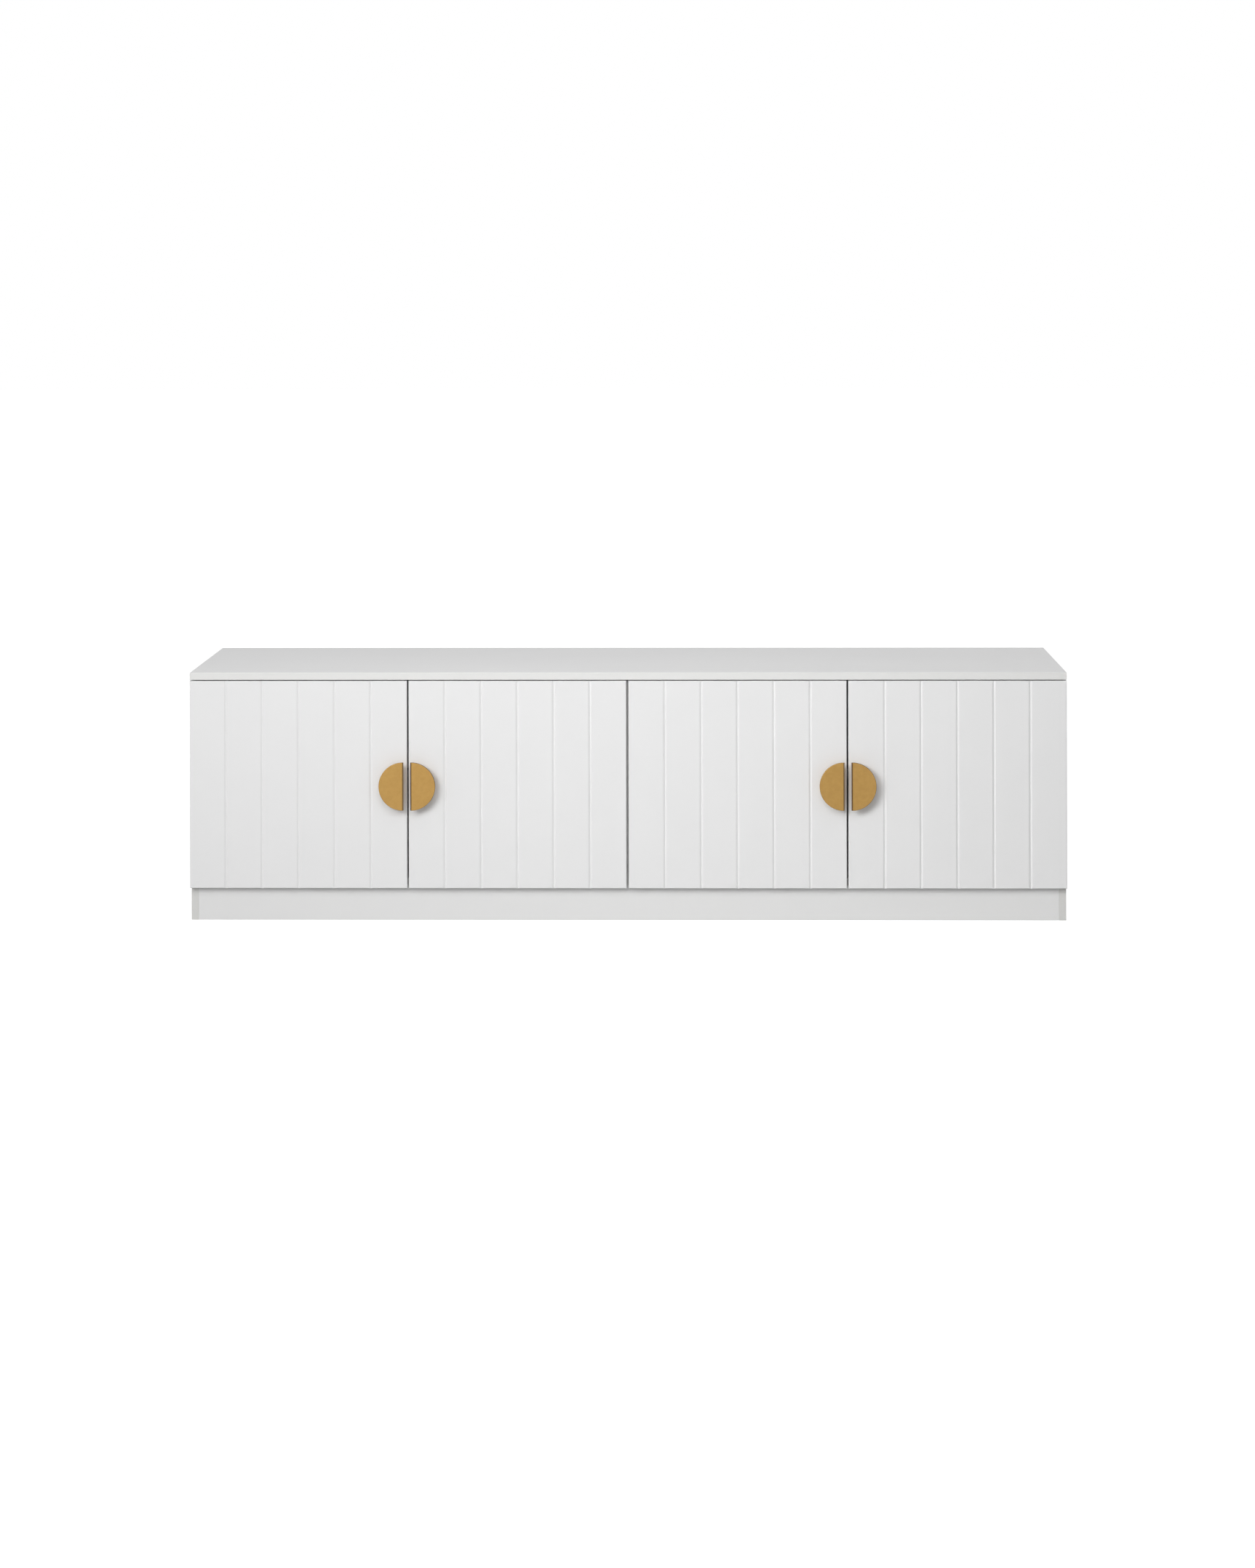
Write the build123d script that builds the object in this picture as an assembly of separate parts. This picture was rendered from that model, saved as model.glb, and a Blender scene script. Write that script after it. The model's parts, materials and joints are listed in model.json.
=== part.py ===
from build123d import *
import os
from math import hypot

# Low four-door cabinet.  Millimetres, +X right, +Y to the back, +Z up.  The origin is at the
# middle of the footprint on the floor, handles included.

# ---- driving dimensions of the cabinet ----
WIDTH = 1800.0
BODY_DEPTH = 400.0          # from the door fronts to the back
HEIGHT = 512.0
BOARD = 15.0
BACK_THICKNESS = 3.0
PLINTH_HEIGHT = 72.0
REAR_PLINTH_INSET = 13.0    # rear plinth board in from the side panels' rear edges

# ---- doors ----
DOOR_COUNT = 4
DOOR_THICKNESS = 16.0
DOOR_BOTTOM = 69.0
DOOR_TOP_GAP = 2.2
PAIR_GAP = 3.3              # between the two doors of a pair
MIDDLE_GAP = 4.4            # between the pairs
CARCASS_GAP = 2.0           # between a closed door and the carcass
PLANKS = 6                  # flat strips on each door, parted by V grooves
GROOVE_WIDTH = 7.0
GROOVE_DEPTH = 1.8
FRONT_ARRIS = 1.5
BACK_ARRIS = 1.0
BOARD_ARRIS = 0.8           # front arrises of the other boards
TOP_ARRIS = 1.0

# ---- half-round handles ----
HANDLE_RADIUS = 49.0
HANDLE_WIDTH = 51.0         # a little more than half a disc
HANDLE_THICKNESS = 4.0
HANDLE_STANDOFF = 18.0
HANDLE_EDGE_GAP = 5.4       # straight edge of the handle to the free edge of its door
HANDLE_HEIGHT = 281.5       # middle of the handle above the floor
HANDLE_ARRIS = 0.8
HANDLE_BEVEL = 2.5          # along the straight edge
POST_RADIUS = 5.0
POST_INSET = 12.0
POST_SPREAD = 32.0          # each post above or below the middle of the handle
HANDLE_SCREW_RADIUS = 2.0
HANDLE_SCREW_GRIP = 10.0
HANDLE_SCREW_HEAD = (4.0, 2.0)

# ---- cup hinges, in plan: u runs from the door's hinge edge into the door, v from the door's
# back face into the cabinet.  A link turns on the arm's pin and carries the cup's pin.
HINGE_END_DISTANCE = 85.0   # hinge centre to the top or bottom of the door
ARM_PIVOT = (30.5, 6.1)
CUP_PIVOT = (10.7, -5.6)
LINK_BEND = (18.5, -9.0)
LINK_THICKNESS = 1.8
LINK_HALF_WIDTH = 4.5
PIN_RADIUS = 1.5
PIN_PLAY = 0.05
LINK_EYE_RADIUS = 2.8
CUP_CENTRE = 22.5
CUP_RADIUS = 17.5
CUP_DEPTH = 11.5
CUP_WALL = 1.0
FLANGE = (10.0, 36.0, 32.0, 1.2)     # u from, u to, half height, thickness
CUP_SCREW_PLACE = (32.0, 24.0)       # u, and above or below the hinge centre
CUP_SCREW_RADIUS = 1.75
CUP_SCREW_LENGTH = 11.0
CUP_SCREW_HEAD = (3.4, 1.0)
LUG_INNER = 5.0                      # the cup's pin is held in two lugs beside the link
LUG_OUTER = 8.5
CHEEK_INNER = 4.8                    # the arm's two cheeks beside the link
CHEEK_OUTER = 6.3
ARM_EYE_RADIUS = 4.0
ARM_BASE = 24.0                      # u of the face where the arm sits on its plate
ARM_TOP = 33.0
ARM_WEB = 1.5
ARM_LENGTH = 62.0                    # v of the arm's rear end
PLATE_SEAT = (25.0, 60.0)            # v range of the mounting plate
PLATE_WING = (3.0, 26.0)             # thickness and half height
PLATE_SCREW_PLACE = (37.0, 17.0)     # v, and above or below the hinge centre
PLATE_SCREW = (2.5, 7.0)             # radius and depth in the board
PLATE_SCREW_HEAD = (4.0, 1.2)
ARM_SCREW = (46.0, 2.5, 3.6, 1.0)    # v, radius, head radius, head height
RECESS_SHARE = 1.2          # length of a screw's cross recess, in head radii
RECESS_WIDTH = 0.9
RECESS_DEPTH = 0.7

# ---- shelves, fittings and back ----
SHELF_TOP = 307.0
SHELF_SIDE_PLAY = 1.0
SHELF_SETBACK = 21.0        # shelf front behind the carcass front
SHELF_REAR_PLAY = 3.0
SHELF_PIN_RADIUS = 2.5
SHELF_PIN_DEPTH = 7.0
SHELF_PIN_REACH = 10.0
SHELF_HOLE_PITCH = 32.0
SHELF_HOLE_ROWS = (-2, -1, 0, 1, 2)
SHELF_HOLE_COLUMNS = (-110.0, 165.0)
CAM_RADIUS = 7.5
CAM_DEPTH = 12.0
CAM_SETBACK = 34.0
BOLT_NECK_RADIUS = 3.0
BOLT_THREAD = (3.5, 11.0)   # radius and depth in the next board
BOLT_TIP = 3.0              # where the bolt ends inside the nut, from the nut's axis
BOLT_TIP_PLAY = 0.2
DOWEL_RADIUS = 4.0
DOWEL_REACH = (20.0, 10.0)
FITTING_DEPTHS = (-60.0, 150.0)
NAIL_RADIUS = 0.9
NAIL_LENGTH = 20.0
NAIL_HEAD = (2.6, 0.8)
NAILS_ALONG_HALF = 5
NAILS_UP_SIDE = 3
CABLE_HOLE_RADIUS = 30.0
CABLE_HOLE_OFFSET = 300.0   # from the cabinet's middle, clear of the gap between the doors
CABLE_HOLE_HEIGHT = 200.0
BUMPER = (4.0, 1.8)         # radius and thickness

# ---- derived places ----
OVERALL_DEPTH = BODY_DEPTH + HANDLE_STANDOFF + HANDLE_THICKNESS
REAR = OVERALL_DEPTH / 2
FRONT = REAR - BODY_DEPTH                        # door fronts
DOOR_BACK = FRONT + DOOR_THICKNESS
CARCASS_FRONT = DOOR_BACK + CARCASS_GAP
PANEL_REAR = REAR - BACK_THICKNESS
SIDE = WIDTH / 2
INNER_SIDE = SIDE - BOARD
TOP_UNDERSIDE = HEIGHT - BOARD
FLOOR_OF_CABINET = PLINTH_HEIGHT + BOARD
DOOR_TOP = TOP_UNDERSIDE - DOOR_TOP_GAP
DOOR_HEIGHT = DOOR_TOP - DOOR_BOTTOM
DOOR_WIDTH = (WIDTH - 2 * PAIR_GAP - MIDDLE_GAP) / DOOR_COUNT
HINGE_HEIGHTS = (DOOR_BOTTOM + HINGE_END_DISTANCE, DOOR_TOP - HINGE_END_DISTANCE)
SHELF_UNDERSIDE = SHELF_TOP - BOARD
SHELF_PIN_HEIGHT = SHELF_UNDERSIDE - SHELF_PIN_RADIUS
# hinge edge of each door and the direction from it into the door
DOORS = (
    (-SIDE, 1),
    (-MIDDLE_GAP / 2, -1),
    (MIDDLE_GAP / 2, 1),
    (SIDE, -1),
)


def block(x0, x1, y0, y1, z0, z1):
    """A box between two corners."""
    centre = Pos((x0 + x1) / 2, (y0 + y1) / 2, (z0 + z1) / 2)
    return centre * Box(abs(x1 - x0), abs(y1 - y0), abs(z1 - z0))


def rod(start, end, radius):
    """A round bar from one point to another."""
    axis = Vector(*end) - Vector(*start)
    return Solid.make_cylinder(radius, axis.length, Plane(origin=start, z_dir=axis))


def upright(profile, half_height):
    """A plan profile made into a solid, equally far above and below its plane."""
    return extrude(profile, half_height, both=True)


def strip(start, end, width):
    """A straight band in plan with its centre line from start to end."""
    run, rise = end[0] - start[0], end[1] - start[1]
    middle = Vector((start[0] + end[0]) / 2, (start[1] + end[1]) / 2)
    place = Location(Plane(origin=middle, x_dir=(run, rise, 0), z_dir=(0, 0, 1)))
    return place * Rectangle(hypot(run, rise), width)


def disc(centre, radius):
    return Pos(*centre) * Circle(radius)


def save(name, *solids):
    """Write one node, of one solid or of several separate ones."""
    flat = [solid for item in solids for solid in item.solids()]
    shape = flat[0] if len(flat) == 1 else Compound(children=flat)
    export_step(shape, f"parts/{name}.step")


def along(start, direction, distance):
    return tuple(s + d * distance for s, d in zip(start, direction))


def screw(tip, seat, radius, head_radius, head_height):
    """A screw from its tip to its seat, with a cross-recessed head standing on the seat."""
    run = Vector(*seat) - Vector(*tip)
    outward = tuple(run.normalized())
    crown = along(seat, outward, head_height)
    whole = rod(tip, seat, radius) + rod(seat, crown, head_radius)
    face = Plane(origin=crown, z_dir=outward)
    for turn in (0, 90):
        slot = Box(RECESS_SHARE * head_radius, RECESS_WIDTH, 2 * RECESS_DEPTH)
        whole -= face.location * Rot(0, 0, turn) * slot
    return whole


# ---- cam fittings: a round nut in one board pulls on a bolt that stands in the next ----


def cam_fitting(contact, toward, face, dowel_shift):
    """contact is on the joint, in the middle of the nut's board; toward points into the other
    board, face out of the side that the nut is let into.  Returns nut, bolt and dowel."""
    nut_centre = along(contact, toward, -CAM_SETBACK)
    nut_face = along(nut_centre, face, BOARD / 2)
    nut = rod(nut_face, along(nut_face, face, -CAM_DEPTH), CAM_RADIUS)
    neck = rod(along(nut_centre, toward, BOLT_TIP), contact, BOLT_NECK_RADIUS)
    thread = rod(contact, along(contact, toward, BOLT_THREAD[1]), BOLT_THREAD[0])
    middle = tuple(c + s for c, s in zip(contact, dowel_shift))
    peg = rod(along(middle, toward, -DOWEL_REACH[0]), along(middle, toward, DOWEL_REACH[1]),
              DOWEL_RADIUS)
    return nut, neck + thread, peg


def finished_nut(nut, toward, face):
    """The nut with the mouth that takes the bolt's tip and a cross recess to turn it by."""
    centre = tuple(nut.center())
    bolt_line = along(centre, face, CAM_DEPTH / 2 - BOARD / 2)
    nut -= rod(along(bolt_line, toward, BOLT_TIP - 1.0), along(bolt_line, toward, CAM_SETBACK),
               BOLT_NECK_RADIUS + BOLT_TIP_PLAY)
    mouth = along(centre, face, CAM_DEPTH / 2)
    recess_length, recess_width, recess_depth = 9.0, 1.6, 2.5
    across = (0, 1, 0) if abs(face[1]) < 0.5 else (1, 0, 0)
    plane = Plane(origin=mouth, x_dir=across, z_dir=face)
    for turn in (45, 135):
        cross = Rot(0, 0, turn) * Box(recess_length, recess_width, 2 * recess_depth)
        nut -= plane.location * cross
    return nut


def all_fittings():
    """Every corner joint of the carcass."""
    places = []
    for depth in FITTING_DEPTHS:
        slide = (0, 32.0, 0)
        for side in (-1, 1):
            middle_of_side = side * (SIDE - BOARD / 2)
            inward, outward = (-side, 0, 0), (side, 0, 0)
            places.append(((middle_of_side, depth, TOP_UNDERSIDE), (0, 0, 1), inward, slide))
            middle_of_floor = PLINTH_HEIGHT + BOARD / 2
            floor_joint = (side * INNER_SIDE, depth, middle_of_floor)
            places.append((floor_joint, outward, (0, 0, -1), slide))
        places.append(((0, depth, TOP_UNDERSIDE), (0, 0, 1), (1, 0, 0), slide))
        places.append(((0, depth, FLOOR_OF_CABINET), (0, 0, -1), (1, 0, 0), slide))
    rear_plinth_middle = PANEL_REAR - REAR_PLINTH_INSET - BOARD / 2
    for side in (-1, 1):
        for depth, face in ((CARCASS_FRONT + BOARD / 2, 1), (rear_plinth_middle, -1)):
            joint = (side * INNER_SIDE, depth, PLINTH_HEIGHT * 2 / 3)
            places.append((joint, (side, 0, 0), (0, face, 0), (0, 0, -PLINTH_HEIGHT * 0.4)))
    nuts, bolts, pegs, cutters = [], [], [], []
    for contact, toward, face, shift in places:
        nut, bolt, peg = cam_fitting(contact, toward, face, shift)
        cutters += [nut, bolt, peg]
        nuts.append(finished_nut(nut, toward, face))
        bolts.append(bolt)
        pegs.append(peg)
    return nuts, bolts, pegs, cutters


def shelf_pin_places():
    """Board face, direction out of it and y, for each column of shelf pins."""
    faces = ((-INNER_SIDE, 1), (-BOARD / 2, -1), (BOARD / 2, 1), (INNER_SIDE, -1))
    return [(x, way, y) for x, way in faces for y in SHELF_HOLE_COLUMNS]


def shelf_pin(x, way, y):
    """A steel pin with a flat-topped tongue that the shelf rests on."""
    shank = rod((x - way * SHELF_PIN_DEPTH, y, SHELF_PIN_HEIGHT),
                (x + way * SHELF_PIN_REACH, y, SHELF_PIN_HEIGHT), SHELF_PIN_RADIUS)
    half_width = 4.5
    tongue = block(x, x + way * SHELF_PIN_REACH, y - half_width, y + half_width,
                   SHELF_PIN_HEIGHT, SHELF_UNDERSIDE)
    return shank + tongue


def shelf_holes():
    holes = []
    for x, way, y in shelf_pin_places():
        for row in SHELF_HOLE_ROWS:
            z = SHELF_PIN_HEIGHT + row * SHELF_HOLE_PITCH
            holes.append(rod((x, y, z), (x - way * SHELF_PIN_DEPTH, y, z), SHELF_PIN_RADIUS))
    return holes


def nails():
    """Small nails that hold the back panels to the boards' rear edges."""
    spots = []
    back_bottom, back_top = back_panel_heights()
    for side in (-1, 1):
        for step in range(NAILS_ALONG_HALF):
            x = side * (60.0 + step * (SIDE - 120.0) / (NAILS_ALONG_HALF - 1))
            spots.append((x, PLINTH_HEIGHT + BOARD / 2))
        for step in range(NAILS_UP_SIDE):
            z = back_bottom + (step + 1) * (back_top - back_bottom) / (NAILS_UP_SIDE + 1)
            spots.append((side * (SIDE - BOARD / 2), z))
            spots.append((side * BOARD / 4, z))
    made = []
    for x, z in spots:
        shank = rod((x, REAR - NAIL_LENGTH, z), (x, REAR, z), NAIL_RADIUS)
        head = rod((x, REAR - NAIL_HEAD[1], z), (x, REAR, z), NAIL_HEAD[0])
        made.append(shank + head)
    return made


def back_panel_heights():
    return PLINTH_HEIGHT + 2.0, TOP_UNDERSIDE - 1.0


def softened(board, direction):
    """The board with the two front arrises that run along a direction rounded."""
    front_edges = board.edges().filter_by(direction).group_by(Axis.Y)[0]
    return fillet(front_edges, BOARD_ARRIS)


def cut_all(board, tools):
    """The board with every tool that reaches it taken out."""
    reach = board.bounding_box()
    near = [tool for tool in tools if reach.overlaps(tool.bounding_box())]
    return board - near if near else board


# ---- carcass ----


def build_carcass():
    nuts, bolts, pegs, cutters = all_fittings()
    nail_set = nails()
    plates, plate_screws, arm_parts = hinge_carcass_parts()
    cutters = cutters + shelf_holes() + nail_set + plate_screws

    top = block(-SIDE, SIDE, FRONT, REAR, TOP_UNDERSIDE, HEIGHT)
    top = fillet(top.edges().filter_by(Axis.Z, reverse=True), TOP_ARRIS)
    rear_plinth = PANEL_REAR - REAR_PLINTH_INSET
    boards = {
        "top_panel": top,
        "left_side_panel": block(-SIDE, -INNER_SIDE, CARCASS_FRONT, PANEL_REAR,
                                 0, TOP_UNDERSIDE),
        "right_side_panel": block(INNER_SIDE, SIDE, CARCASS_FRONT, PANEL_REAR,
                                  0, TOP_UNDERSIDE),
        "centre_divider": block(-BOARD / 2, BOARD / 2, CARCASS_FRONT, PANEL_REAR,
                                FLOOR_OF_CABINET, TOP_UNDERSIDE),
        "bottom_panel": block(-INNER_SIDE, INNER_SIDE, CARCASS_FRONT, PANEL_REAR,
                              PLINTH_HEIGHT, FLOOR_OF_CABINET),
        "plinth_front": block(-INNER_SIDE, INNER_SIDE, CARCASS_FRONT, CARCASS_FRONT + BOARD,
                              0, PLINTH_HEIGHT),
        "plinth_rear": block(-INNER_SIDE, INNER_SIDE, rear_plinth - BOARD, rear_plinth,
                             0, PLINTH_HEIGHT),
        "plinth_centre_support": block(-BOARD / 2, BOARD / 2, CARCASS_FRONT + BOARD,
                                       rear_plinth - BOARD, 0, PLINTH_HEIGHT),
    }
    for name in ("left_side_panel", "right_side_panel", "plinth_front", "centre_divider"):
        boards[name] = softened(boards[name], Axis.Z)
    boards["bottom_panel"] = softened(boards["bottom_panel"], Axis.X)
    back_bottom, back_top = back_panel_heights()
    for name, side in (("back_panel_left", -1), ("back_panel_right", 1)):
        panel = block(side * 1.0, side * (SIDE - 2.0), PANEL_REAR, REAR, back_bottom, back_top)
        hole_middle = side * CABLE_HOLE_OFFSET
        panel -= rod((hole_middle, PANEL_REAR - 1, CABLE_HOLE_HEIGHT),
                     (hole_middle, REAR + 1, CABLE_HOLE_HEIGHT), CABLE_HOLE_RADIUS)
        boards[name] = panel
    for name, board in boards.items():
        save(name, cut_all(board, cutters))

    shelf_front = CARCASS_FRONT + SHELF_SETBACK
    shelf_rear = PANEL_REAR - SHELF_REAR_PLAY
    inner, outer = BOARD / 2 + SHELF_SIDE_PLAY, INNER_SIDE - SHELF_SIDE_PLAY
    for name, side in (("shelf_left", -1), ("shelf_right", 1)):
        shelf = block(side * inner, side * outer, shelf_front, shelf_rear,
                      SHELF_UNDERSIDE, SHELF_TOP)
        save(name, softened(shelf, Axis.X))
    save("shelf_pins", *[shelf_pin(*place) for place in shelf_pin_places()])
    save("cam_lock_nuts", *nuts)
    save("cam_bolts", *bolts)
    save("dowels", *pegs)
    save("back_panel_nails", *nail_set)
    save("hinge_mounting_plates", *plates)
    save("mounting_plate_screws", *plate_screws)
    save("hinge_arms", *arm_parts["arm"])
    save("hinge_arm_pins", *arm_parts["pin"])
    save("hinge_arm_screws", *arm_parts["screw"])
    save("door_bumpers", *door_bumpers())


def door_bumpers():
    """Soft dots on the bottom panel's front edge, one behind each door's free corner."""
    made = []
    for hinge_edge, way in DOORS:
        x = hinge_edge + way * (DOOR_WIDTH - 25.0)
        z = PLINTH_HEIGHT + BOARD / 2
        made.append(rod((x, CARCASS_FRONT, z), (x, CARCASS_FRONT - BUMPER[1], z), BUMPER[0]))
    return made


# ---- hinges ----


def link():
    """The bent link, with an eye round each pin."""
    profile = strip(ARM_PIVOT, LINK_BEND, LINK_THICKNESS)
    profile += strip(LINK_BEND, CUP_PIVOT, LINK_THICKNESS)
    profile += disc(LINK_BEND, LINK_THICKNESS / 2)
    for pivot in (ARM_PIVOT, CUP_PIVOT):
        profile += disc(pivot, LINK_EYE_RADIUS)
    for pivot in (ARM_PIVOT, CUP_PIVOT):
        profile -= disc(pivot, PIN_RADIUS + PIN_PLAY)
    return upright(profile, LINK_HALF_WIDTH)


def hinge_cup():
    """The pressed cup with its flange and the two lugs that hold the pin."""
    face = (CUP_CENTRE, 0, 0)
    outer = rod_in_depth(CUP_RADIUS, 0, -CUP_DEPTH)
    hollow = rod_in_depth(CUP_RADIUS - CUP_WALL, FLANGE[3], CUP_WALL - CUP_DEPTH)
    flange = block(FLANGE[0], FLANGE[1], 0, FLANGE[3], -FLANGE[2], FLANGE[2])
    flange = fillet(flange.edges().filter_by(Axis.Y), 6.0)
    cup = outer + flange - hollow
    floor = CUP_WALL - CUP_DEPTH
    for side in (-1, 1):
        lug = block(CUP_PIVOT[0] - 2.6, CUP_PIVOT[0] + 2.6, floor, CUP_PIVOT[1] + 2.6,
                    side * LUG_INNER, side * LUG_OUTER)
        cup += lug
    for fixing in cup_screws():
        cup -= fixing
    return cup - cup_pin()


def rod_in_depth(radius, v_from, v_to):
    """A round bar on the cup's own axis."""
    return rod((CUP_CENTRE, v_from, 0), (CUP_CENTRE, v_to, 0), radius)


def cup_pin():
    u, v = CUP_PIVOT
    return rod((u, v, -LUG_OUTER), (u, v, LUG_OUTER), PIN_RADIUS)


def cup_screws():
    u, spread = CUP_SCREW_PLACE
    head_radius, head_height = CUP_SCREW_HEAD
    made = []
    for z in (-spread, spread):
        made.append(screw((u, FLANGE[3] - CUP_SCREW_LENGTH, z), (u, FLANGE[3], z),
                          CUP_SCREW_RADIUS, head_radius, head_height))
    return made


def arm_pin():
    u, v = ARM_PIVOT
    return rod((u, v, -CHEEK_OUTER), (u, v, CHEEK_OUTER), PIN_RADIUS)


def arm_screw():
    v, radius, head_radius, head_height = ARM_SCREW
    return screw((ARM_BASE - 4.0, v, 0), (ARM_TOP, v, 0), radius, head_radius, head_height)


def hinge_arm():
    """A channel with two cheeks and a web, carrying the pin at its front end."""
    side_view = disc(ARM_PIVOT, ARM_EYE_RADIUS)
    front = ARM_PIVOT[1]
    height, length = ARM_TOP - ARM_BASE, ARM_LENGTH - front
    side_view += Pos(ARM_BASE + height / 2, front + length / 2) * Rectangle(height, length)
    cheek = extrude(side_view, CHEEK_OUTER - CHEEK_INNER)
    arm = Pos(0, 0, CHEEK_INNER) * cheek + Pos(0, 0, -CHEEK_OUTER) * cheek
    web_start = front + LINK_EYE_RADIUS + 2.0
    arm += block(ARM_TOP - ARM_WEB, ARM_TOP, web_start, ARM_LENGTH, -CHEEK_OUTER, CHEEK_OUTER)
    return arm - arm_pin() - arm_screw()


def mounting_plate(board_face):
    """A winged plate on the board, with the seat for the arm; board_face is the board's u."""
    v_from, v_to = PLATE_SEAT
    thickness, half_height = PLATE_WING
    wing = block(board_face, board_face + thickness, v_from, v_to - 12.0,
                 -half_height, half_height)
    wing = fillet(wing.edges().filter_by(Axis.X), 7.0)
    seat = block(board_face, ARM_BASE, v_from, v_to, -CHEEK_OUTER, CHEEK_OUTER)
    plate = wing + seat - arm_screw()
    for fixing in plate_screws(board_face):
        plate -= fixing
    return plate


def plate_screws(board_face):
    v, spread = PLATE_SCREW_PLACE
    radius, depth = PLATE_SCREW
    head_radius, head_height = PLATE_SCREW_HEAD
    top = board_face + PLATE_WING[0]
    made = []
    for z in (-spread, spread):
        made.append(screw((board_face - depth, v, z), (top, v, z), radius,
                          head_radius, head_height))
    return made


def placed(shape, hinge_edge, way, height):
    """From a hinge's own u, v and height to the cabinet, mirrored for a right-hung door."""
    turned = shape if way > 0 else mirror(shape, about=Plane.YZ)
    return Pos(hinge_edge, DOOR_BACK, height) * turned


def hinge_carcass_parts():
    """The hinge parts that stay on the carcass, for every door."""
    arm, pin, clamp = hinge_arm(), arm_pin(), arm_screw()
    plates, screws = [], []
    arm_parts = {"arm": [], "pin": [], "screw": []}
    for hinge_edge, way in DOORS:
        on_side = abs(hinge_edge) > WIDTH / 4
        board_face = BOARD if on_side else BOARD / 2 - MIDDLE_GAP / 2
        for height in HINGE_HEIGHTS:
            plates.append(placed(mounting_plate(board_face), hinge_edge, way, height))
            for fixing in plate_screws(board_face):
                screws.append(placed(fixing, hinge_edge, way, height))
            for name, piece in (("arm", arm), ("pin", pin), ("screw", clamp)):
                arm_parts[name].append(placed(piece, hinge_edge, way, height))
    return plates, screws, arm_parts


# ---- doors, made hung on the left, with u along the width and v into the cabinet ----


def handle_plate():
    """Half a disc with its straight edge towards the door's free edge."""
    straight = DOOR_WIDTH - HANDLE_EDGE_GAP
    whole = Pos(HANDLE_RADIUS - HANDLE_WIDTH, 0) * Circle(HANDLE_RADIUS)
    half = whole & Pos(-HANDLE_WIDTH / 2, 0) * Rectangle(HANDLE_WIDTH, 2 * HANDLE_RADIUS)
    front = -DOOR_THICKNESS - HANDLE_STANDOFF - HANDLE_THICKNESS
    face = Plane(origin=(straight, front, HANDLE_HEIGHT), x_dir=(1, 0, 0), z_dir=(0, -1, 0))
    plate = extrude(face * half, -HANDLE_THICKNESS)
    straight_arris = plate.faces().sort_by(Axis.Y)[0].edges().filter_by(GeomType.LINE)
    plate = chamfer(straight_arris, HANDLE_BEVEL)
    round_arris = plate.faces().sort_by(Axis.Y)[0].edges().filter_by(GeomType.CIRCLE)
    return fillet(round_arris, HANDLE_ARRIS)


def post_places():
    u = DOOR_WIDTH - HANDLE_EDGE_GAP - POST_INSET
    return [(u, HANDLE_HEIGHT + side * POST_SPREAD) for side in (-1, 1)]


def handle_posts():
    made = []
    for u, z in post_places():
        post = rod((u, -DOOR_THICKNESS - HANDLE_STANDOFF, z), (u, -DOOR_THICKNESS, z),
                   POST_RADIUS)
        made.append(post - handle_screw(u, z))
    return made


def handle_screw(u, z):
    head_radius, head_height = HANDLE_SCREW_HEAD
    tip = -DOOR_THICKNESS - HANDLE_SCREW_GRIP
    return screw((u, tip, z), (u, 0, z), HANDLE_SCREW_RADIUS, head_radius, head_height)


def door_panel(cups, screws):
    """The grooved board, bored for its hinge cups and handle screws."""
    panel = block(0, DOOR_WIDTH, -DOOR_THICKNESS, 0, DOOR_BOTTOM, DOOR_TOP)
    by_depth = panel.faces().sort_by(Axis.Y)
    panel = fillet(by_depth[0].edges(), FRONT_ARRIS)
    panel = fillet(panel.faces().sort_by(Axis.Y)[-1].edges(), BACK_ARRIS)
    half = GROOVE_WIDTH / 2
    outline = Polyline((-half, 0), (half, 0), (0, GROOVE_DEPTH), close=True)
    groove = extrude(make_face(outline), DOOR_HEIGHT)
    for plank in range(1, PLANKS):
        place = Pos(plank * DOOR_WIDTH / PLANKS, -DOOR_THICKNESS, DOOR_BOTTOM)
        panel -= place * groove
    for height in HINGE_HEIGHTS:
        panel -= Pos(0, 0, height) * rod_in_depth(CUP_RADIUS, 0, -CUP_DEPTH)
    return panel - cups - screws


def build_doors():
    lift = [Pos(0, 0, height) for height in HINGE_HEIGHTS]
    cup, screw_pair, pin, bar = hinge_cup(), cup_screws(), cup_pin(), link()
    screws = [place * fixing for place in lift for fixing in screw_pair]
    handle_screws = [handle_screw(u, z) for u, z in post_places()]
    parts = {
        "panel": [door_panel(screws, handle_screws)],
        "handle": [handle_plate()],
        "handle_posts": handle_posts(),
        "handle_screws": handle_screws,
        "hinge_cups": [place * cup for place in lift],
        "cup_screws": screws,
        "cup_pins": [place * pin for place in lift],
        "hinge_links": [place * bar for place in lift],
    }
    for number, (hinge_edge, way) in enumerate(DOORS, start=1):
        for name, shapes in parts.items():
            save(f"door_{number}_{name}", *[placed(s, hinge_edge, way, 0) for s in shapes])


os.makedirs("parts", exist_ok=True)
build_carcass()
build_doors()
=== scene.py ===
import json
import math

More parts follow.
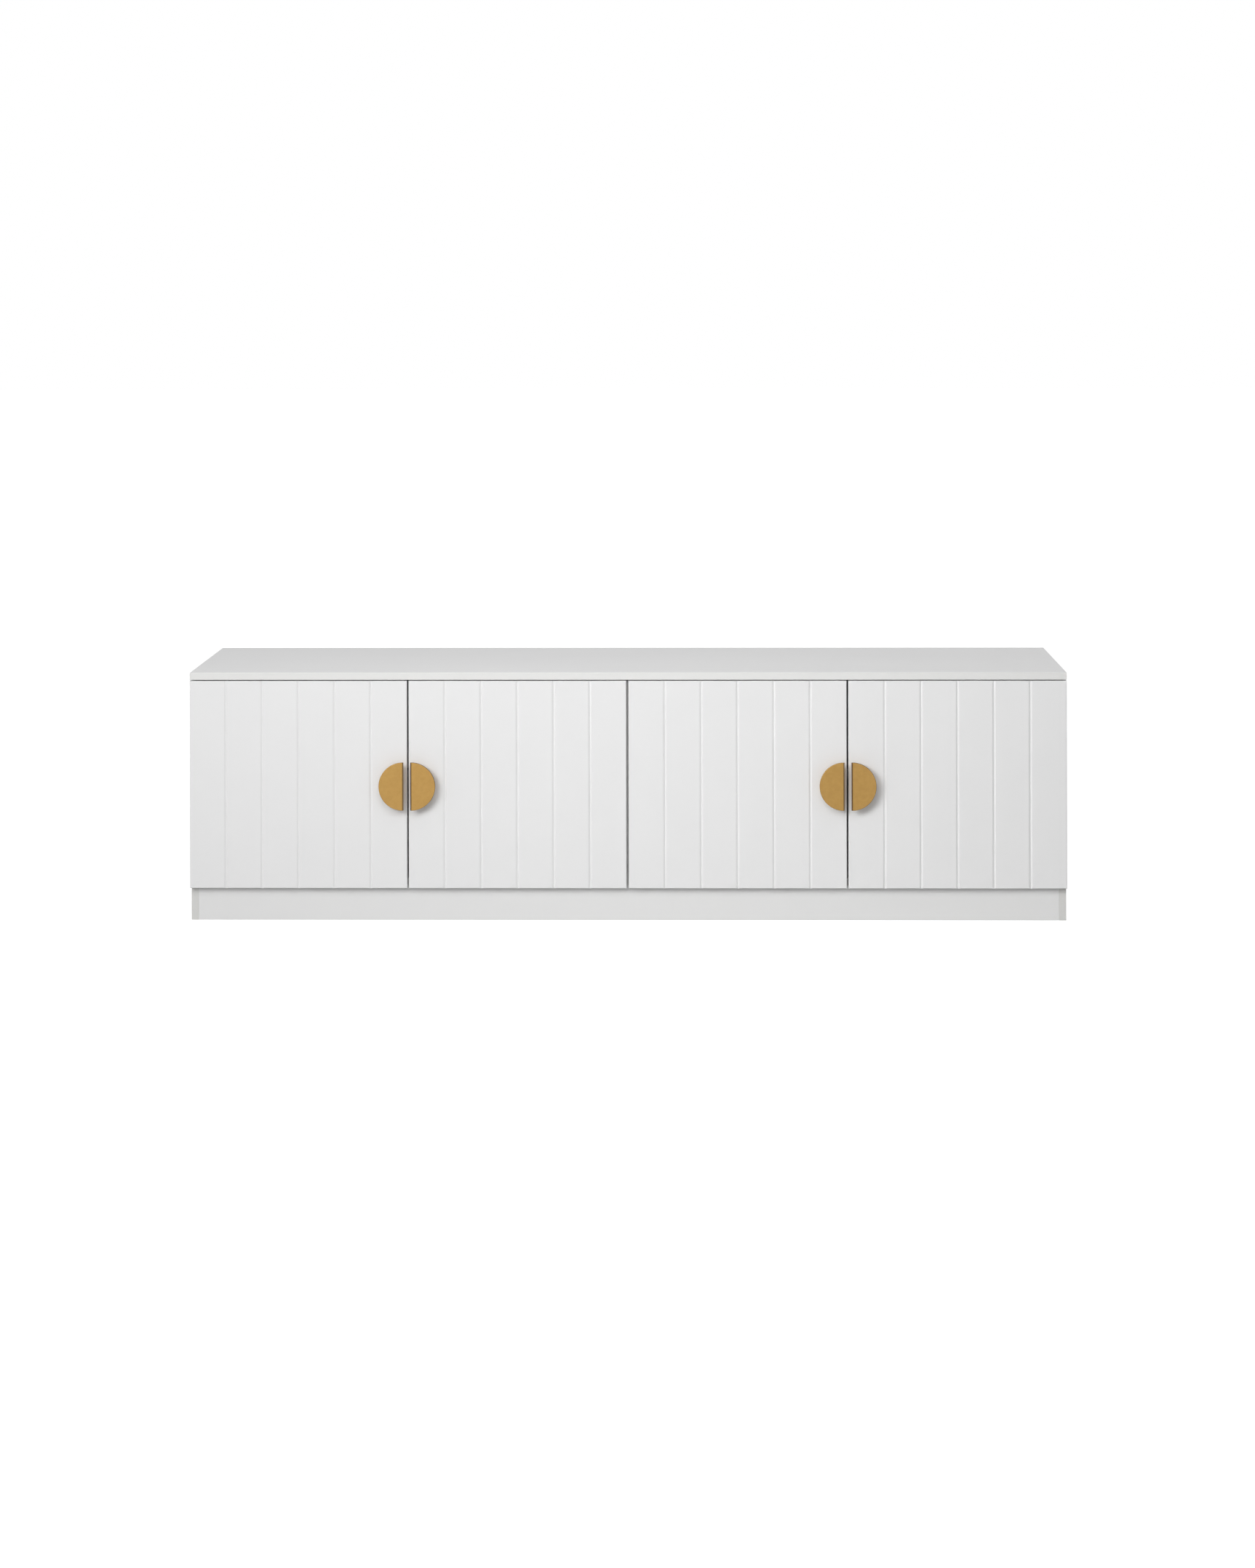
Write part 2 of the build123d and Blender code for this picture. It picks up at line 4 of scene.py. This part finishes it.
import bpy
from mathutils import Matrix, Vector


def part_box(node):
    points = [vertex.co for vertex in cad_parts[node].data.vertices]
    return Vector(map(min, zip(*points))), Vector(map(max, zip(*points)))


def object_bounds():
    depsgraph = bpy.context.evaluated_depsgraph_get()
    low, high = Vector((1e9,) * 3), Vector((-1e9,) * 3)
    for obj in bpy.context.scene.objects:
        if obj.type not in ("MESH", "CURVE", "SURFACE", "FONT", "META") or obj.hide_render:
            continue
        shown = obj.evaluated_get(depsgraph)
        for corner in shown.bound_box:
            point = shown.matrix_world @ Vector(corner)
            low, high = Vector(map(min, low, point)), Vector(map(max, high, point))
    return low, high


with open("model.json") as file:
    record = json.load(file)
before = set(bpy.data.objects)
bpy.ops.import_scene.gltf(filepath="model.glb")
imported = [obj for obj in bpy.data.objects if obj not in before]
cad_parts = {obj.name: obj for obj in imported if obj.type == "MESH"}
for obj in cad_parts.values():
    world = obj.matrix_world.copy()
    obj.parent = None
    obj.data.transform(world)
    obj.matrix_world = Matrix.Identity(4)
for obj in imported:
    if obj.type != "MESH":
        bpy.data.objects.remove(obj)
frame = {"nodes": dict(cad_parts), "record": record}
cad_low, cad_high = [list(corner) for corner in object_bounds()]

scene = bpy.context.scene
scene.view_settings.view_transform = "Standard"
scene.view_settings.look = "None"

HEIGHT = cad_high[2] - cad_low[2]
DOOR_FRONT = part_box("door_1_panel")[0][1]
DOOR_NUMBERS = (1, 2, 3, 4)


# ---- camera: level, above the cabinet and a little to its right, turned slightly to the left ----

CAMERA_DISTANCE = 5.807      # from the door fronts
CAMERA_OFFSET = 0.159        # to the right of the cabinet's middle
CAMERA_HEIGHT = 1.304
CAMERA_TURN = 0.806          # degrees to the left
CAMERA_ROLL = 0.128          # degrees, which levels the cabinet's long lines again
LENS = 65.0
SENSOR = 36.0
SHIFT_X, SHIFT_Y = -0.0233, -0.3173


def make_camera():
    data = bpy.data.cameras.new("camera")
    data.lens = LENS
    data.sensor_width = SENSOR
    data.shift_x, data.shift_y = SHIFT_X, SHIFT_Y
    data.clip_end = 100.0
    camera = bpy.data.objects.new("camera", data)
    camera.location = (CAMERA_OFFSET, DOOR_FRONT - CAMERA_DISTANCE, CAMERA_HEIGHT)
    camera.rotation_euler = [math.radians(turn) for turn in (90, CAMERA_ROLL, CAMERA_TURN)]
    scene.collection.objects.link(camera)
    scene.camera = camera


# ---- studio: soft boxes, an even white surround and a white floor ----

AMBIENT = 0.487
BACKDROP = 1.0
FLOOR_ALBEDO = 0.45
FLOOR_GLOW = 0.85            # what only the camera sees, so that the floor reads as white paper
FLOOR_HALF = 30.0
# name, place, aimed at, width and height, watts, spread in degrees
SOFT_BOXES = (
    ("key", (-1.9, -4.0, 2.2), (0, DOOR_FRONT, HEIGHT / 2), (1.5, 1.5), 61.7, 180),
    ("near_key", (-1.6, -2.9, 1.6), (0, DOOR_FRONT, HEIGHT / 2), (1.2, 1.2), 3.5, 180),
    ("low_key", (-2.2, -3.2, 1.9), (0.8, DOOR_FRONT, HEIGHT / 2), (1.3, 1.3), 2.6, 45),
    ("front", (-0.1, -2.2, 1.9), (-0.1, DOOR_FRONT, 0.3), (1.2, 0.9), 12.0, 180),
    ("top", (0, 0.2, 3.2), (0, 0.2, 0), (3.0, 2.0), 4.0, 180),
    ("rear_left", (-3.4, 2.6, 1.3), (-0.4, 0.2, HEIGHT / 2), (1.6, 1.2), 14.0, 180),
    ("rear_right", (3.4, 2.6, 1.3), (0.4, 0.2, HEIGHT / 2), (1.6, 1.2), 14.0, 180),
)


def make_soft_box(name, place, target, size, watts, spread):
    data = bpy.data.lights.new(name, "AREA")
    data.shape = "RECTANGLE"
    data.size, data.size_y = size
    data.energy = watts
    data.spread = math.radians(spread)
    lamp = bpy.data.objects.new(name, data)
    lamp.location = place
    lamp.rotation_mode = "QUATERNION"
    lamp.rotation_quaternion = (Vector(target) - Vector(place)).to_track_quat("-Z", "Y")
    scene.collection.objects.link(lamp)


def make_surround():
    world = bpy.data.worlds.new("studio")
    scene.world = world
    world.use_nodes = True
    tree = world.node_tree
    tree.nodes.clear()
    ambient = add(tree, "ShaderNodeBackground", {"Color": (1, 1, 1, 1), "Strength": AMBIENT})
    backdrop = add(tree, "ShaderNodeBackground", {"Color": (1, 1, 1, 1), "Strength": BACKDROP})
    ray = add(tree, "ShaderNodeLightPath")
    mix = add(tree, "ShaderNodeMixShader")
    out = add(tree, "ShaderNodeOutputWorld")
    tree.links.new(ray.outputs["Is Camera Ray"], mix.inputs["Fac"])
    tree.links.new(ambient.outputs[0], mix.inputs[1])
    tree.links.new(backdrop.outputs[0], mix.inputs[2])
    tree.links.new(mix.outputs[0], out.inputs["Surface"])


def make_floor():
    mesh = bpy.data.meshes.new("floor")
    corners = [(x * FLOOR_HALF, y * FLOOR_HALF, 0) for x, y in ((-1, -1), (1, -1), (1, 1), (-1, 1))]
    mesh.from_pydata(corners, [], [(0, 1, 2, 3)])
    floor = bpy.data.objects.new("floor", mesh)
    scene.collection.objects.link(floor)
    look, tree, shader = new_look("floor", (FLOOR_ALBEDO,) * 3, 0.9)
    shader.inputs["Specular IOR Level"].default_value = 0.0
    shader.inputs["Emission Color"].default_value = (1, 1, 1, 1)
    ray = add(tree, "ShaderNodeLightPath")
    glow = add(tree, "ShaderNodeMath", {1: FLOOR_GLOW}, operation="MULTIPLY")
    tree.links.new(ray.outputs["Is Camera Ray"], glow.inputs[0])
    tree.links.new(glow.outputs[0], shader.inputs["Emission Strength"])
    mesh.materials.append(look)


# ---- building blocks of the materials.  A node's own coordinates are in metres ----


def add(tree, kind, values=None, **settings):
    """A new node with some of its sockets and settings filled in."""
    made = tree.nodes.new(kind)
    for name, value in settings.items():
        setattr(made, name, value)
    for socket, value in (values or {}).items():
        made.inputs[socket].default_value = value
    return made


def new_look(name, colour, roughness, metallic=0.0):
    look = bpy.data.materials.new(name)
    look.use_nodes = True
    shader = look.node_tree.nodes["Principled BSDF"]
    shader.inputs["Base Color"].default_value = (*colour, 1)
    shader.inputs["Roughness"].default_value = roughness
    shader.inputs["Metallic"].default_value = metallic
    return look, look.node_tree, shader


def speckle(tree, size, detail=2.0, stretch=(1, 1, 1)):
    """Noise whose blotches are about one size, in metres, and longer along a stretched axis."""
    place = add(tree, "ShaderNodeTexCoord")
    squeeze = add(tree, "ShaderNodeMapping", {"Scale": [1 / along for along in stretch]})
    noise = add(tree, "ShaderNodeTexNoise", {"Scale": 1 / size, "Detail": detail})
    tree.links.new(place.outputs["Object"], squeeze.inputs["Vector"])
    tree.links.new(squeeze.outputs[0], noise.inputs["Vector"])
    return noise.outputs["Fac"]


def spread_over(tree, value, low, high, source=(0.3, 0.7)):
    """The noise's usual range mapped to another range."""
    ramp = add(tree, "ShaderNodeMapRange", {"From Min": source[0], "From Max": source[1],
                                            "To Min": low, "To Max": high})
    tree.links.new(value, ramp.inputs["Value"])
    return ramp.outputs[0]


def blend_colours(tree, share, first, second):
    """Two colours, or a colour socket and a colour, mixed by a share from 0 to 1."""
    mix = add(tree, "ShaderNodeMix", data_type="RGBA")
    tree.links.new(share, mix.inputs["Factor"])
    for socket, colour in (("A", first), ("B", second)):
        target = [s for s in mix.inputs if s.name == socket and s.type == "RGBA"][0]
        if isinstance(colour, tuple):
            target.default_value = (*colour, 1)
        else:
            tree.links.new(colour, target)
    return [s for s in mix.outputs if s.type == "RGBA"][0]


def bump(tree, shader, height, depth, strength=1.0, under=None):
    """Relief of a real depth in metres, laid over an earlier relief if there is one."""
    made = add(tree, "ShaderNodeBump", {"Distance": depth, "Strength": strength})
    tree.links.new(height, made.inputs["Height"])
    if under:
        tree.links.new(under, made.inputs["Normal"])
    tree.links.new(made.outputs[0], shader.inputs["Normal"])
    return made.outputs[0]


def normal_along(tree, axis):
    """The part of a face's own normal that lies along an axis."""
    shape = add(tree, "ShaderNodeTexCoord")
    parts = add(tree, "ShaderNodeSeparateXYZ")
    tree.links.new(shape.outputs["Normal"], parts.inputs[0])
    return parts.outputs[axis]


def facing(tree, axis, low, high):
    """0 to 1 as the normal along an axis goes from one value to another."""
    return spread_over(tree, normal_along(tree, axis), 0.0, 1.0, (low, high))


def across(tree, axis, low, high):
    """As facing, but a face counts the same whichever way along the axis it looks."""
    size = add(tree, "ShaderNodeMath", operation="ABSOLUTE")
    tree.links.new(normal_along(tree, axis), size.inputs[0])
    return spread_over(tree, size.outputs[0], 0.0, 1.0, (low, high))


# ---- materials ----

WHITE = (0.855, 0.855, 0.855)
WHITE_LOW = (0.845, 0.845, 0.846)
TOP_BAND = (0.80, 0.80, 0.785)
SIDE_BAND = (0.725, 0.723, 0.705)
PLINTH_FRONT = (0.83, 0.83, 0.826)
BACKING = (0.80, 0.80, 0.785)
HARDBOARD = (0.27, 0.165, 0.09)
BRASS = (0.625, 0.376, 0.113)
BRASS_LOW = (0.586, 0.347, 0.101)
# Painted shade: the two brass edge tones darken the handles where their edges turn away from the
# front, standing in for a dark reflection; the darker one is for the handles on doors 2 and 4.
BRASS_PAINTED_SHADE_RIM = (0.36, 0.24, 0.12)
BRASS_PAINTED_DARK_SHADE_RIM = (0.17, 0.10, 0.055)
NICKEL = (0.70, 0.685, 0.66)
NICKEL_LOW = (0.675, 0.66, 0.635)
ZINC = (0.56, 0.56, 0.58)
ZINC_LOW = (0.36, 0.36, 0.38)
BEECH = (0.66, 0.47, 0.29)
BEECH_FLECK = (0.50, 0.32, 0.18)
CLEAR = (0.90, 0.91, 0.91)
CLEAR_LOW = (0.80, 0.81, 0.81)
LACQUER_ROUGHNESS = (0.39, 0.45)
MELAMINE_ROUGHNESS = (0.40, 0.46)
TOP_ROUGHNESS = (0.60, 0.66)     # more matt, so that it doesn't mirror the key light


def white_lacquer():
    """Sprayed satin lacquer on the doors: soft orange peel, and a sheen that varies a little."""
    look, tree, shader = new_look("white_lacquer", WHITE, 0.42)
    tone = blend_colours(tree, spread_over(tree, speckle(tree, 0.12), 0, 1), WHITE_LOW, WHITE)
    tree.links.new(tone, shader.inputs["Base Color"])
    sheen = spread_over(tree, speckle(tree, 0.03), *LACQUER_ROUGHNESS)
    tree.links.new(sheen, shader.inputs["Roughness"])
    peel = bump(tree, shader, speckle(tree, 0.0035, detail=1.0), 0.00004)
    bump(tree, shader, speckle(tree, 0.0008), 0.000006, under=peel)
    return look


def white_melamine(name, front, roughness=MELAMINE_ROUGHNESS):
    """Melamine-faced board with a fine pearl grain; its front is an edge band of its own tone."""
    look, tree, shader = new_look(name, WHITE, 0.42)
    tone = blend_colours(tree, spread_over(tree, speckle(tree, 0.2), 0, 1), WHITE_LOW, WHITE)
    banded = blend_colours(tree, facing(tree, "Y", -0.5, -0.9), tone, front)
    tree.links.new(banded, shader.inputs["Base Color"])
    sheen = spread_over(tree, speckle(tree, 0.02), *roughness)
    tree.links.new(sheen, shader.inputs["Roughness"])
    pearl = bump(tree, shader, speckle(tree, 0.0012, detail=3.0), 0.00002)
    bump(tree, shader, speckle(tree, 0.006, detail=1.0), 0.00003, under=pearl)
    return look


def white_backing():
    """Thin hardboard, painted on its faces and brown where it is cut."""
    look, tree, shader = new_look("white_backing", BACKING, 0.55)
    cut = blend_colours(tree, spread_over(tree, speckle(tree, 0.0015, 4.0), 0, 1),
                        tuple(0.7 * part for part in HARDBOARD), HARDBOARD)
    paint = blend_colours(tree, spread_over(tree, speckle(tree, 0.05, 3.0), 0, 1),
                          tuple(0.97 * part for part in BACKING), BACKING)
    tree.links.new(blend_colours(tree, across(tree, "Y", 0.4, 0.6), cut, paint),
                   shader.inputs["Base Color"])
    tree.links.new(spread_over(tree, speckle(tree, 0.01), 0.5, 0.62), shader.inputs["Roughness"])
    bump(tree, shader, speckle(tree, 0.0016, 4.0, stretch=(2.0, 1.0, 1.0)), 0.00008)
    return look


def satin_brass(name, rim_shade):
    """Satin brass, faintly mottled. Painted shade: its bevel and rounded edges round the flat face
    turn darker as their normal turns away from the front, standing in for the dark reflection they
    show.
    """
    look, tree, shader = new_look(name, BRASS, 0.5, metallic=0.6)
    tone = blend_colours(tree, spread_over(tree, speckle(tree, 0.009, 3.0), 0, 1), BRASS_LOW, BRASS)
    # Painted shade: faces whose normal along Y falls from 0.96 to 0.75 blend into the darker edge
    # tone.
    shade_rimmed = blend_colours(tree, across(tree, "Y", 0.75, 0.96), rim_shade, tone)
    tree.links.new(shade_rimmed, shader.inputs["Base Color"])
    tree.links.new(spread_over(tree, speckle(tree, 0.006), 0.45, 0.57), shader.inputs["Roughness"])
    grain = bump(tree, shader, speckle(tree, 0.0004, 3.0, stretch=(1, 1, 12)), 0.000006)
    bump(tree, shader, speckle(tree, 0.004, 1.0), 0.00001, under=grain)
    return look


def nickel_steel():
    """Nickel-plated pressed steel with fine rolling marks."""
    look, tree, shader = new_look("nickel_steel", (0.69, 0.675, 0.65), 0.28, metallic=1.0)
    tone = blend_colours(tree, spread_over(tree, speckle(tree, 0.012), 0, 1), NICKEL_LOW, NICKEL)
    tree.links.new(tone, shader.inputs["Base Color"])
    tree.links.new(spread_over(tree, speckle(tree, 0.005), 0.26, 0.31), shader.inputs["Roughness"])
    bump(tree, shader, speckle(tree, 0.0005, 2.0, stretch=(1, 10, 1)), 0.000002)
    return look


def zinc_casting():
    """Bare die-cast zinc, grey and grainy."""
    look, tree, shader = new_look("zinc_casting", (0.5, 0.5, 0.52), 0.5, metallic=1.0)
    tone = blend_colours(tree, spread_over(tree, speckle(tree, 0.003, 4.0), 0, 1), ZINC_LOW, ZINC)
    tree.links.new(tone, shader.inputs["Base Color"])
    tree.links.new(spread_over(tree, speckle(tree, 0.002), 0.42, 0.62), shader.inputs["Roughness"])
    bump(tree, shader, speckle(tree, 0.0006, 4.0), 0.00005)
    return look


def beech_dowel():
    """Pale beech with its short brown flecks."""
    look, tree, shader = new_look("beech_dowel", (0.62, 0.43, 0.26), 0.6)
    grain = blend_colours(tree, spread_over(tree, speckle(tree, 0.0015, 4.0, (1, 1, 6)), 0, 1),
                          BEECH_FLECK, BEECH)
    tree.links.new(grain, shader.inputs["Base Color"])
    bump(tree, shader, speckle(tree, 0.0008, 3.0, stretch=(1, 1, 6)), 0.00006)
    return look


def clear_bumper():
    """Soft clear plastic, slightly cloudy."""
    look, tree, shader = new_look("clear_bumper", (0.86, 0.87, 0.87), 0.25)
    shader.inputs["Transmission Weight"].default_value = 0.7
    shader.inputs["IOR"].default_value = 1.45
    tone = blend_colours(tree, spread_over(tree, speckle(tree, 0.002), 0, 1), CLEAR_LOW, CLEAR)
    tree.links.new(tone, shader.inputs["Base Color"])
    tree.links.new(spread_over(tree, speckle(tree, 0.001), 0.18, 0.34), shader.inputs["Roughness"])
    return look


def dress():
    """Every CAD node takes the finish of its slot, or one of its own where it differs."""
    looks = {
        "white_board": white_melamine("white_melamine", TOP_BAND),
        "white_backing": white_backing(),
        "satin_brass": satin_brass("satin_brass", BRASS_PAINTED_SHADE_RIM),
        "nickel_steel": nickel_steel(),
        "zinc_casting": zinc_casting(),
        "beech_dowel": beech_dowel(),
        "clear_bumper": clear_bumper(),
    }
    lacquer = white_lacquer()
    side_board = white_melamine("side_melamine", SIDE_BAND)
    plinth_board = white_melamine("plinth_melamine", PLINTH_FRONT)
    # A copy of the brass with a darker painted shade on its edges, for the right-hand handles.
    painted_dark_shade_brass = satin_brass("satin_brass_painted_dark_shade_rim", BRASS_PAINTED_DARK_SHADE_RIM)
    own = {
        "top_panel": white_melamine("top_melamine", TOP_BAND, TOP_ROUGHNESS),
        "left_side_panel": side_board, "right_side_panel": side_board,
        "plinth_front": plinth_board, "plinth_rear": plinth_board,
        # The handles on doors 2 and 4 take the copy with the darker painted shade on their edges.
        "door_2_handle": painted_dark_shade_brass, "door_4_handle": painted_dark_shade_brass,
    }
    for number in DOOR_NUMBERS:
        own[f"door_{number}_panel"] = lacquer
    for entry in frame["record"]["subparts"]:
        name = entry["node"]
        surface = frame["nodes"][name].data
        surface.materials.clear()
        surface.materials.append(own.get(name) or looks[entry["material_slot"]])


make_camera()
for soft_box in SOFT_BOXES:
    make_soft_box(*soft_box)
make_surround()
make_floor()
dress()
